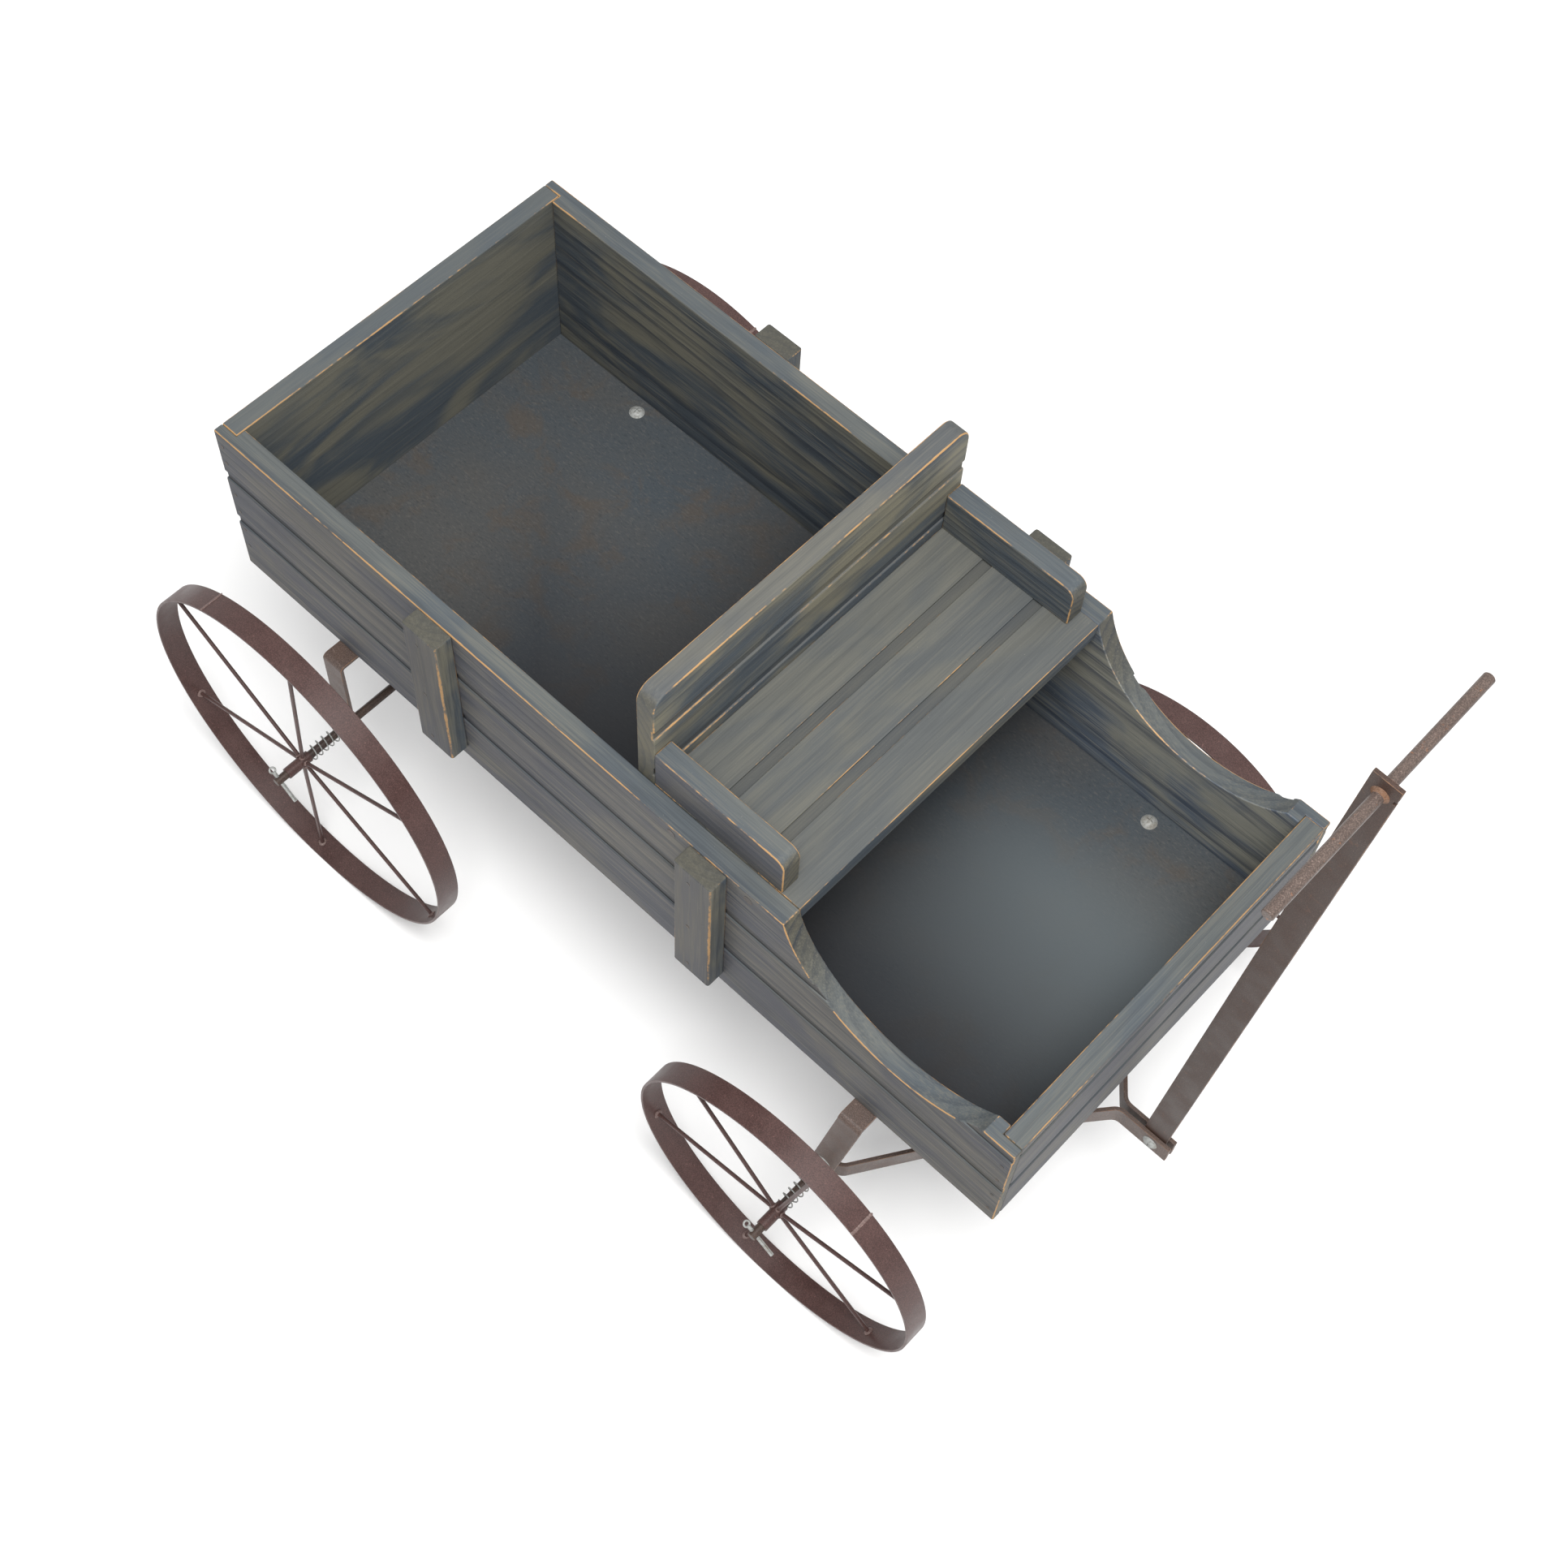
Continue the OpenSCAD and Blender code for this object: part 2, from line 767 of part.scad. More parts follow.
module rear_right_pin() {
    color(zinc) at_box() at_wheel(rear_axle_x, rear_drop, -1) cotter_pin(rear_pin_tilt);
}

module front_left_rim() {
    color(iron) at_box() at_wheel(front_axle_x, front_drop, 1) rim(front_wheel_d);
}

module front_left_spokes() {
    color(iron) at_box() at_wheel(front_axle_x, front_drop, 1) spokes(front_wheel_d, front_left_turn);
}

module front_left_hub() {
    color(iron) at_box() at_wheel(front_axle_x, front_drop, 1) hub();
}

module front_left_spring() {
    color(zinc) at_box() at_wheel(front_axle_x, front_drop, 1) spring();
}

module front_left_pin() {
    color(zinc) at_box() at_wheel(front_axle_x, front_drop, 1) cotter_pin(front_pin_tilt);
}

module front_right_rim() {
    color(iron) at_box() at_wheel(front_axle_x, front_drop, -1) rim(front_wheel_d);
}

module front_right_spokes() {
    color(iron) at_box() at_wheel(front_axle_x, front_drop, -1) spokes(front_wheel_d, front_right_turn);
}

module front_right_hub() {
    color(iron) at_box() at_wheel(front_axle_x, front_drop, -1) hub();
}

module front_right_spring() {
    color(zinc) at_box() at_wheel(front_axle_x, front_drop, -1) spring();
}

module front_right_pin() {
    color(zinc) at_box() at_wheel(front_axle_x, front_drop, -1) cotter_pin(front_pin_tilt);
}

// ---- Nails and wood screws ----

// A nail driven along -Z into the face z = 0
module nail() {
    translate([0, 0, -nail_l]) cylinder(d = nail_d, h = nail_l, $fn = 24);
    translate([0, 0, -nail_d / 2]) cylinder(d = nail_head_d, h = nail_d / 2 + proud, $fn = 24);
}

wood_screw_l = 40;

// A countersunk wood screw driven along -Z into the face z = 0
module wood_screw(length) {
    shank_d = 3.5;
    screw_head_d = 7;
    translate([0, 0, -length]) cylinder(d = shank_d, h = length);
    rotate_extrude() polygon([
        [0, shank_d / 2 - screw_head_d / 2], [shank_d / 2, shank_d / 2 - screw_head_d / 2],
        [screw_head_d / 2, 0], [screw_head_d / 2, proud], [0, proud]
    ]);
}

// Turns its children to be driven in from a side of the box, at a height z
module from_side(side, x, y, z) {
    on_side(side) translate([x, y, z]) rotate([-90, 0, 0]) children();
}

module seat_screws() {
    color(nail_grey) at_box()
        for (side = [-1, 1], x = [seat_back_x + seat_screw_inset, seat_front_x - seat_screw_inset]) {
            from_side(side, x, half_w, side_h - board_t / 2) wood_screw(wood_screw_l);
        }
}

module backrest_screws() {
    color(nail_grey) at_box() for (share = [-0.7, 0, 0.7]) {
        translate([seat_back_x - board_t, share * inner_y, side_h - board_t / 2])
            rotate([0, -90, 0]) wood_screw(wood_screw_l);
    }
}

module armrest_nails() {
    color(nail_grey) at_box() for (side = [-1, 1], x = [0.2 * arm_l, 0.8 * arm_l]) {
        on_side(side) translate([seat_back_x + x, inner_y - board_t / 2, seat_z]) mirror([0, 0, 1]) nail();
    }
}

// How far the end nails sit from the slats' ends, and the others off the slats' middles
slat_nail_top = 15;
slat_nail_bottom = 10.5;
slat_nail_below = 5;
slat_nail_behind = 3;
slat_nail_heights = [
    side_h - slat_nail_top, (side_h + slat_low) / 2 - slat_nail_below, slat_low + slat_nail_bottom
];

module slat_nails() {
    color(nail_grey) at_box() for (side = [-1, 1], x = [rear_slat_x, front_slat_x], z = slat_nail_heights) {
        from_side(side, x - slat_nail_behind, half_w + slat_t, z) nail();
    }
}

// Where the two nails of each band sit, from the lowest band up, as shares of the band's height
rear_nail_spots = [[0.5, 0.9], [0.2, 0.65], [0.3, 0.7]];
front_nail_spots = [[0.27, 0.75], [0.15, 0.7]];
corner_nail_inset = 6;

// Nail heights in the bands of a side board, which its grooves part
function band_nails(spots) = [
    for (k = [0 : len(spots) - 1])
        let (low = k == 0 ? 0 : side_groove_z + (k - 1) * groove_pitch + groove_w / 2)
        let (high = k == 2 ? side_h : side_groove_z + k * groove_pitch - groove_w / 2)
        for (share = spots[k]) low + share * (high - low)
];

module corner_nails() {
    color(nail_grey) at_box() for (side = [-1, 1]) {
        for (z = band_nails(rear_nail_spots)) {
            from_side(side, corner_nail_inset, half_w, z) nail();
        }
        for (z = band_nails(front_nail_spots)) {
            from_side(side, box_l - corner_nail_inset, half_w, z) nail();
        }
    }
}

side_board_left();
side_board_right();
rear_board();
front_board();
floor_panel();
slat_rear_left();
slat_rear_right();
slat_front_left();
slat_front_right();
seat_board();
backrest_board();
armrest_left();
armrest_right();
rear_bracket();
front_bracket();
rear_axle();
front_axle();
floor_screws();
floor_nuts();
tow_strap_left();
tow_strap_right();
strap_screws();
strap_nuts();
pivot_screw();
pivot_nut();
handle_bar();
handle_grip();
handle_welds();
rear_left_rim();
rear_left_spokes();
rear_left_hub();
rear_left_spring();
rear_left_pin();
rear_right_rim();
rear_right_spokes();
rear_right_hub();
rear_right_spring();
rear_right_pin();
front_left_rim();
front_left_spokes();
front_left_hub();
front_left_spring();
front_left_pin();
front_right_rim();
front_right_spokes();
front_right_hub();
front_right_spring();
front_right_pin();
seat_screws();
backrest_screws();
armrest_nails();
slat_nails();
corner_nails();
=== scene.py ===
import math

import bmesh
import bpy
from mathutils import Matrix, Vector


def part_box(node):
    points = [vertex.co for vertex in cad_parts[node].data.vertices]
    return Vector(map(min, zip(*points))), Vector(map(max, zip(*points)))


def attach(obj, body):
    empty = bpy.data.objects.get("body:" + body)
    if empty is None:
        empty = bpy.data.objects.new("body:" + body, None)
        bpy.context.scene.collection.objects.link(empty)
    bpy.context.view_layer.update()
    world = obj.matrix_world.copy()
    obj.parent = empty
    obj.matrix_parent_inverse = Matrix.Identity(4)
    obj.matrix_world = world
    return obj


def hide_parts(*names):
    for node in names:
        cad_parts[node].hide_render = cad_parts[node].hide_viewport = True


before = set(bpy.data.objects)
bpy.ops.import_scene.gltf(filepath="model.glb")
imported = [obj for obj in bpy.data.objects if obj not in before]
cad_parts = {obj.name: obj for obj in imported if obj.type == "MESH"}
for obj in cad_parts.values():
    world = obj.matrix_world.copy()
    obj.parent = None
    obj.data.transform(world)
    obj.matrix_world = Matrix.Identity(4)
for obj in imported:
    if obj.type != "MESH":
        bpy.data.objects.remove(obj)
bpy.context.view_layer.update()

# ---- Studio ----
# A white sweep under a big white tent, with one soft lamp high over the camera, so that the
# wagon's shadow lies softly under it. The camera looks down over the right front corner.
scene = bpy.context.scene
scene.view_settings.view_transform = "Standard"

bpy.ops.mesh.primitive_plane_add(size=14, location=(0, 0, 0))
sweep = bpy.context.object
sweep.name = "studio_floor"
paper = bpy.data.materials.new("white paper")
paper.use_nodes = True
paper_shader = paper.node_tree.nodes["Principled BSDF"]
paper_shader.inputs["Base Color"].default_value = (0.95, 0.95, 0.95, 1)
paper_shader.inputs["Roughness"].default_value = 0.95
paper_shader.inputs["Specular IOR Level"].default_value = 0.1
sweep.data.materials.append(paper)

tent = bpy.data.worlds.new("white tent")
tent.use_nodes = True
tent.node_tree.nodes["Background"].inputs["Color"].default_value = (1.0, 1.0, 1.0, 1)
tent.node_tree.nodes["Background"].inputs["Strength"].default_value = 0.78
scene.world = tent


def soft_lamp(name, place, target, size, watts, tint):
    lamp = bpy.data.lights.new(name, "AREA")
    lamp.shape = "SQUARE"
    lamp.size = size
    lamp.energy = watts
    lamp.color = tint
    holder = bpy.data.objects.new(name, lamp)
    holder.location = place
    holder.rotation_euler = (Vector(target) - Vector(place)).to_track_quat("-Z", "Y").to_euler()
    scene.collection.objects.link(holder)


soft_lamp("key lamp", (0.66, -0.50, 2.45), (0, 0, 0.2), 1.1, 60, (1.0, 0.995, 0.985))

lens = bpy.data.cameras.new("camera")
lens.sensor_width = 36
lens.lens = 54.93
lens.shift_x = -0.0045
lens.shift_y = -0.0189
camera = bpy.data.objects.new("camera", lens)
ahead = Vector((-0.30623, 0.38009, -0.87278)).normalized()
across = Vector((0.72941, 0.68282, 0.04144))
across = (across - ahead * across.dot(ahead)).normalized()
upward = across.cross(ahead)
camera.matrix_world = Matrix.Translation((0.54138, -0.6398, 1.7135)) @ Matrix(
    (across, upward, -ahead)
).transposed().to_4x4()
scene.collection.objects.link(camera)
scene.camera = camera


# ---- Side boards ----
# Two pine boards with a scoop and two milled grooves, lapped at the ends, stained blue-grey
# and sanded along their edges until the bare wood shows.
def only(piece):
    """Selects one object, and nothing else."""
    bpy.ops.object.select_all(action="DESELECT")
    piece.select_set(True)
    bpy.context.view_layer.objects.active = piece


def part_of(node, name):
    """A new object with the node's own mesh, its triangles merged into clean faces."""
    piece = bpy.data.objects.new(name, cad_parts[node].data.copy())
    scene.collection.objects.link(piece)
    only(piece)
    if piece.data.has_custom_normals:
        bpy.ops.mesh.customdata_custom_splitnormals_clear()
    bpy.ops.object.mode_set(mode="EDIT")
    bpy.ops.mesh.select_all(action="SELECT")
    bpy.ops.mesh.remove_doubles(threshold=0.00001)
    bpy.ops.mesh.dissolve_limited(angle_limit=math.radians(0.3))
    bpy.ops.object.mode_set(mode="OBJECT")
    return piece


def round_edges(piece, radius, wide_radius=None, is_wide=None, wear=None, painted_shade_depth=None):
    """Rounds every outward corner, and marks the rounding in the attribute "rubbed": wear(place)
    gives how much sanding each place has had, from 0 to 1. A second attribute holds painted shade
    in the grooves: the last argument, given (place, facing), says how dark."""
    widest = wide_radius or radius
    shape = bmesh.new()
    shape.from_mesh(piece.data)
    weight = shape.edges.layers.float.new("bevel_weight_edge")
    for edge in shape.edges:
        if len(edge.link_faces) == 2 and edge.is_convex and edge.calc_face_angle() > math.radians(30):
            a, b = edge.verts[0].co, edge.verts[1].co
            wide = is_wide and is_wide((a + b) / 2, (b - a).normalized())
            edge[weight] = 1.0 if wide else radius / widest
    shape.to_mesh(piece.data)
    shape.free()
    piece.data.materials.clear()
    for k in range(2):
        piece.data.materials.append(None)
    for polygon in piece.data.polygons:
        polygon.material_index = 0
    rounding = piece.modifiers.new("rounding", "BEVEL")
    rounding.limit_method = "WEIGHT"
    rounding.width = widest
    rounding.segments = 3
    rounding.material = 1
    rounding.use_clamp_overlap = False
    only(piece)
    bpy.ops.object.modifier_apply(modifier=rounding.name)
    flat = {v for p in piece.data.polygons if p.material_index == 0 for v in p.vertices}
    rubbed = piece.data.attributes.new("rubbed", "FLOAT", "CORNER")
    painted_groove_shade = piece.data.attributes.new("painted_groove_shade", "FLOAT", "CORNER")
    for polygon in piece.data.polygons:
        if polygon.material_index == 0 and painted_shade_depth:
            for corner in polygon.loop_indices:
                painted_groove_shade.data[corner].value = painted_shade_depth(polygon.center, polygon.normal)
        if polygon.material_index == 1:
            share = wear(polygon.center) if wear else 1.0
            for corner, vertex in zip(polygon.loop_indices, polygon.vertices):
                rubbed.data[corner].value = 0.0 if vertex in flat else share
        polygon.material_index = 0
    piece.data.materials.clear()
    bpy.ops.object.shade_smooth_by_angle(angle=math.radians(38))
    even = piece.modifiers.new("even shading", "WEIGHTED_NORMAL")
    even.keep_sharp = True
    bpy.ops.object.modifier_apply(modifier=even.name)


def settle(piece, material, body, slot, *nodes):
    """Gives a finished piece its material and body, and hides the nodes that it stands for. Its slot is not
    used.
    """
    piece.data.materials.clear()
    piece.data.materials.append(material)
    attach(piece, body)
    if nodes:
        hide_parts(*nodes)


def make_group(name, inputs, outputs):
    """An empty shader node group with named sockets: (name, kind, value) and (name, kind)."""
    group = bpy.data.node_groups.new(name, "ShaderNodeTree")
    for label, kind, value in inputs:
        socket = group.interface.new_socket(label, in_out="INPUT", socket_type="NodeSocket" + kind)
        socket.default_value = value
    for label, kind in outputs:
        group.interface.new_socket(label, in_out="OUTPUT", socket_type="NodeSocket" + kind)
    return group, group.nodes.new("NodeGroupInput").outputs, group.nodes.new("NodeGroupOutput").inputs


def wire(tree, value, socket):
    """Joins a socket to another, or sets it to a plain value."""
    if isinstance(value, bpy.types.NodeSocket):
        tree.links.new(value, socket)
    elif value is not None:
        socket.default_value = value


def sums(tree, operation, a, b=None, c=None):
    """One step of arithmetic on up to three values."""
    node = tree.nodes.new("ShaderNodeMath")
    node.operation = operation
    for value, socket in zip((a, b, c), node.inputs):
        wire(tree, value, socket)
    return node.outputs[0]


def vectors(tree, operation, a, b=None):
    """One step of arithmetic on vectors."""
    node = tree.nodes.new("ShaderNodeVectorMath")
    node.operation = operation
    wire(tree, a, node.inputs[0])
    wire(tree, b, node.inputs[1])
    return node.outputs["Value" if operation in ("LENGTH", "DOT_PRODUCT") else "Vector"]


def step(tree, value, low, high, to_low=0.0, to_high=1.0):
    """A smooth step of a value from low to high."""
    node = tree.nodes.new("ShaderNodeMapRange")
    node.interpolation_type = "SMOOTHSTEP"
    for value_in, socket in zip((value, low, high, to_low, to_high), node.inputs):
        wire(tree, value_in, socket)
    return node.outputs[0]


def cloud(tree, vector, stretch, detail=3.0, roughness=0.5, distortion=0.0):
    """Noise whose features per metre along each axis are given by stretch."""
    node = tree.nodes.new("ShaderNodeTexNoise")
    tree.links.new(vectors(tree, "MULTIPLY", vector, stretch), node.inputs["Vector"])
    node.inputs["Scale"].default_value = 1.0
    node.inputs["Detail"].default_value = detail
    node.inputs["Roughness"].default_value = roughness
    node.inputs["Distortion"].default_value = distortion
    return node.outputs["Fac"]


def tint(tree, mask, a, b, kind="MIX"):
    """Mixes two colours by a mask."""
    node = tree.nodes.new("ShaderNodeMix")
    node.data_type = "RGBA"
    node.blend_type = kind
    wire(tree, mask, node.inputs[0])
    wire(tree, a, node.inputs[6])
    wire(tree, b, node.inputs[7])
    return node.outputs[2]


def veil(tree, base, mask, amount, colour):
    """Lays a colour over the base where the mask is, at most by the amount."""
    return tint(tree, sums(tree, "MULTIPLY", mask, amount), base, colour)


def bumps(tree, height, distance, strength):
    """A surface normal tilted by a height."""
    node = tree.nodes.new("ShaderNodeBump")
    wire(tree, height, node.inputs["Height"])
    node.inputs["Distance"].default_value = distance
    node.inputs["Strength"].default_value = strength
    return node.outputs["Normal"]


# Growth rings round the X axis of the vector: broad pale early wood, a narrow dark late band,
# and the fibres that run along them.
pine_rings, ins, outs = make_group(
    "pine rings",
    [("Vector", "Vector", (0, 0, 0)), ("Ring Width", "Float", 0.006), ("Sway", "Float", 0.012)],
    [("Late Wood", "Float"), ("Fibre", "Float"), ("Patches", "Float")],
)
tree = pine_rings
sway = cloud(tree, ins["Vector"], (3.0, 7.0, 7.0), 2.0, 0.5)
ripple = cloud(tree, ins["Vector"], (14.0, 60.0, 60.0), 2.0, 0.5)
section = vectors(tree, "MULTIPLY", ins["Vector"], (0, 1, 1))
reach = vectors(tree, "LENGTH", section)
moved = sums(tree, "MULTIPLY_ADD", sums(tree, "SUBTRACT", sway, 0.5), ins["Sway"], reach)
moved = sums(tree, "MULTIPLY_ADD", sums(tree, "SUBTRACT", ripple, 0.5), 0.0022, moved)
rings = sums(tree, "DIVIDE", moved, ins["Ring Width"])
year = tree.nodes.new("ShaderNodeTexWhiteNoise")
year.noise_dimensions = "1D"
tree.links.new(sums(tree, "FLOOR", rings), year.inputs["W"])
season = sums(tree, "FRACT", rings)
late = sums(
    tree, "MULTIPLY",
    step(tree, season, 0.35, 0.93),
    step(tree, season, 0.93, 1.0, 1.0, 0.0),
)
strong = sums(tree, "MULTIPLY_ADD", year.outputs["Value"], 0.7, 0.3)
tree.links.new(sums(tree, "MULTIPLY", late, strong), outs["Late Wood"])
grain_line = cloud(tree, ins["Vector"], (6.0, 230.0, 230.0), 3.0, 0.6)
hair = cloud(tree, ins["Vector"], (26.0, 950.0, 950.0), 2.0, 0.6)
strands = sums(tree, "MULTIPLY_ADD", hair, 0.58, sums(tree, "MULTIPLY", grain_line, 0.42))
tree.links.new(strands, outs["Fibre"])
patches = cloud(tree, ins["Vector"], (7.0, 20.0, 20.0), 3.0, 0.55, 0.8)
tree.links.new(patches, outs["Patches"])

# Where a sanded or worn edge has lost its colour: broken, and wider in some places.
worn_edge, ins, outs = make_group(
    "worn edge",
    [("Vector", "Vector", (0, 0, 0)), ("Amount", "Float", 0.5)],
    [("Bare", "Float")],
)
tree = worn_edge
marked = tree.nodes.new("ShaderNodeAttribute")
marked.attribute_name = "rubbed"
long_wear = cloud(tree, ins["Vector"], (13.0, 30.0, 30.0), 3.0, 0.55)
short_wear = cloud(tree, ins["Vector"], (190.0, 420.0, 420.0), 3.0, 0.6)
broken = sums(tree, "MULTIPLY_ADD", short_wear, 0.32, sums(tree, "MULTIPLY", long_wear, 0.68))
rubbing = sums(tree, "MULTIPLY", marked.outputs["Fac"], ins["Amount"])
limit = sums(tree, "MULTIPLY_ADD", rubbing, -0.40, 0.71)
gone = step(tree, sums(tree, "SUBTRACT", broken, limit), -0.04, 0.07)
bare = sums(tree, "MULTIPLY", gone, step(tree, marked.outputs["Fac"], 0.02, 0.35))
tree.links.new(bare, outs["Bare"])


def stained_pine(name, grain, pith, outward, rub=0.6, ring=0.006, tone=1.0, olive=0.5, lines=1.0,
                 top=(0.080, 0.092, 0.100, 1), painted_light_span=None):
    """Blue-grey stained pine. grain is the board's long axis, pith a point on the tree's middle
    line, outward the direction of its better face, olive how brown its other faces are,
    lines how strongly its rings show, top the colour of its sanded upper face, and the last
    argument the stretch along X, (from, to), over which its inner face is painted paler and bluer: painted
    light."""
    material = bpy.data.materials.new(name)
    material.use_nodes = True
    tree = material.node_tree
    shader = tree.nodes["Principled BSDF"]
    place = tree.nodes.new("ShaderNodeTexCoord")
    turned = tree.nodes.new("ShaderNodeMapping")
    turn = {"X": (0, 0, 0), "Y": (0, 0, -math.pi / 2), "Z": (0, math.pi / 2, 0)}[grain]
    turned.inputs["Rotation"].default_value = turn
    pith_turned = Vector(pith)
    pith_turned.rotate(Matrix.Rotation(turn[1], 3, "Y") @ Matrix.Rotation(turn[2], 3, "Z"))
    turned.inputs["Location"].default_value = -pith_turned
    tree.links.new(place.outputs["Object"], turned.inputs["Vector"])
    grown = tree.nodes.new("ShaderNodeGroup")
    grown.node_tree = pine_rings
    grown.inputs["Ring Width"].default_value = ring
    tree.links.new(turned.outputs["Vector"], grown.inputs["Vector"])
    worn = tree.nodes.new("ShaderNodeGroup")
    worn.node_tree = worn_edge
    worn.inputs["Amount"].default_value = rub
    tree.links.new(turned.outputs["Vector"], worn.inputs["Vector"])

    facing = vectors(tree, "DOT_PRODUCT", place.outputs["Normal"], outward)
    outer = step(tree, facing, 0.3, 0.7)
    upper = step(tree, vectors(tree, "DOT_PRODUCT", place.outputs["Normal"], (0, 0, 1)), 0.3, 0.8)
    along = {"X": (1, 0, 0), "Y": (0, 1, 0), "Z": (0, 0, 1)}[grain]
    across_grain = vectors(tree, "DOT_PRODUCT", place.outputs["Normal"], along)
    end_grain = step(tree, sums(tree, "ABSOLUTE", across_grain), 0.5, 0.9)
    blotch = step(tree, grown.outputs["Patches"], 0.40, 0.62)
    inner = veil(tree, (0.064, 0.078, 0.092, 1), blotch, olive * 1.6, (0.180, 0.168, 0.122, 1))
    better = tint(tree, blotch, (0.070, 0.072, 0.084, 1), (0.098, 0.094, 0.088, 1))
    ground = tint(tree, outer, inner, better)
    ground = veil(tree, ground, upper, 0.75, top)
    ground = veil(tree, ground, end_grain, 0.7, (0.084, 0.076, 0.054, 1))
    dark_share = sums(tree, "MULTIPLY_ADD", outer, -0.30, 0.85)
    dark_share = sums(tree, "MULTIPLY", dark_share, sums(tree, "MULTIPLY_ADD", upper, -0.55, 1.0))
    streak = sums(tree, "MULTIPLY", sums(tree, "MULTIPLY", grown.outputs["Late Wood"], lines), dark_share)
    wood = tint(tree, streak, ground, (0.024, 0.031, 0.044, 1))
    hairs = 0.16 + 0.26 * lines
    rough_face = sums(tree, "MULTIPLY_ADD", sums(tree, "MAXIMUM", upper, end_grain), -0.45 * hairs, hairs)
    pale = sums(tree, "MULTIPLY", step(tree, grown.outputs["Fibre"], 0.51, 0.60), rough_face)
    wood = tint(tree, pale, wood, (0.190, 0.178, 0.140, 1))
    deep = sums(tree, "MULTIPLY", step(tree, grown.outputs["Fibre"], 0.49, 0.40), rough_face)
    wood = tint(tree, deep, wood, (0.030, 0.034, 0.040, 1))
    speck = step(tree, cloud(tree, place.outputs["Object"], (900.0, 900.0, 900.0), 1.0), 0.76, 0.82)
    wood = veil(tree, wood, speck, 0.5, (0.26, 0.25, 0.22, 1))
    groove_shade_read = tree.nodes.new("ShaderNodeAttribute")
    groove_shade_read.attribute_name = "painted_groove_shade"
    # Painted shade in the milled grooves, darkest on their walls.
    wood = tint(tree, groove_shade_read.outputs["Fac"], wood, (0.018, 0.020, 0.024, 1))
    bare_wood = tint(tree, grown.outputs["Fibre"], (0.30, 0.17, 0.075, 1), (0.46, 0.28, 0.125, 1))
    wood = tint(tree, worn.outputs["Bare"], wood, bare_wood)
    wood = tint(tree, 1.0, wood, (tone, tone, tone, 1), "MULTIPLY")
    # Painted light: the inner face made paler and bluer over the given stretch along X.
    if painted_light_span:
        spot = tree.nodes.new("ShaderNodeSeparateXYZ")
        tree.links.new(place.outputs["Object"], spot.inputs["Vector"])
        inward = step(tree, facing, -0.3, -0.7)
        painted_lit_patch = sums(tree, "MULTIPLY", step(tree, spot.outputs["X"], *painted_light_span), inward)
        wood = tint(tree, painted_lit_patch, wood, (1.75, 1.8, 1.95, 1), "MULTIPLY")
    tree.links.new(wood, shader.inputs["Base Color"])
    tree.links.new(step(tree, grown.outputs["Fibre"], 0.3, 0.7, 0.52, 0.68), shader.inputs["Roughness"])
    shader.inputs["Specular IOR Level"].default_value = 0.22
    relief = sums(tree, "MULTIPLY_ADD", grown.outputs["Late Wood"], 0.5, grown.outputs["Fibre"])
    tree.links.new(bumps(tree, relief, 0.0004, 0.5), shader.inputs["Normal"])
    return material


box_low, box_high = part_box("side_board_left")
groove_lines = (box_low.z + 0.055, box_low.z + 0.108)


def in_groove(depth):
    """Whether a place this far behind a board's face lies in one of its milled grooves."""
    return 0.0001 < depth < 0.0018


def side_groove_shade(place, facing):
    """Painted shade on the walls of the milled grooves, and a little on their floors."""
    groove_half = 0.0048
    level = any(abs(place.z - line) < groove_half for line in groove_lines)
    if level and in_groove(box_high.y - abs(place.y)):
        return 0.9 if abs(facing.z) > 0.7 else 0.35
    return 0.0


def side_wear(place):
    """Sanded most along the top and the scoop, hardly in the grooves and underneath."""
    rounding = 0.004
    groove_reach = 0.007
    beside_groove = any(abs(place.z - line) < groove_reach for line in groove_lines)
    if beside_groove and place.x < box_high.x - rounding:
        return 0.12
    if place.z < box_low.z + rounding:
        return 0.35
    return 1.0 if box_high.y - abs(place.y) < 0.003 else 0.62


for side, name in ((1, "left"), (-1, "right")):
    node = "side_board_" + name
    board = part_of(node, node + "_wood")
    round_edges(board, 0.0012, wear=side_wear, painted_shade_depth=side_groove_shade)
    pith = (0, side * 0.205, 0.31) if side > 0 else (0, side * 0.088, 0.285)
    # The left board's inner face gets painted light over its front stretch.
    pine = stained_pine(
        "stained pine, side " + name, "X", pith, (0, side, 0),
        rub=0.72, ring=0.0085, olive=0.45, painted_light_span=(0.10, 0.19) if side > 0 else None,
    )
    settle(board, pine, "chassis", "stained_wood", node)

# ---- End boards ----
# The rear board and the lower front board, let into the side boards' laps and grooved on
# their outer faces.
for node, out, height in (("rear_board", -1, 0.30), ("front_board", 1, 0.34)):
    low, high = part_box(node)
    board = part_of(node, node + "_wood")
    face_x = high.x if out > 0 else low.x
    # The last argument paints shade into the milled grooves.
    round_edges(
        board, 0.0012,
        wear=lambda place: 0.8 if place.z > high.z - 0.004 else 0.1,
        painted_shade_depth=lambda place, facing: 0.0 if not in_groove(abs(place.x - face_x))
        else 0.9 if abs(facing.z) > 0.7 else 0.4,
    )
    pith = ((low.x + high.x) / 2 - out * 0.055, 0, height)
    pine = stained_pine(
        "stained pine, " + node.replace("_", " "), "Y", pith, (out, 0, 0),
        rub=0.7, ring=0.0075, olive=0.42, lines=0.12 if out < 0 else 0.8,
    )
    settle(board, pine, "chassis", "stained_wood", node)
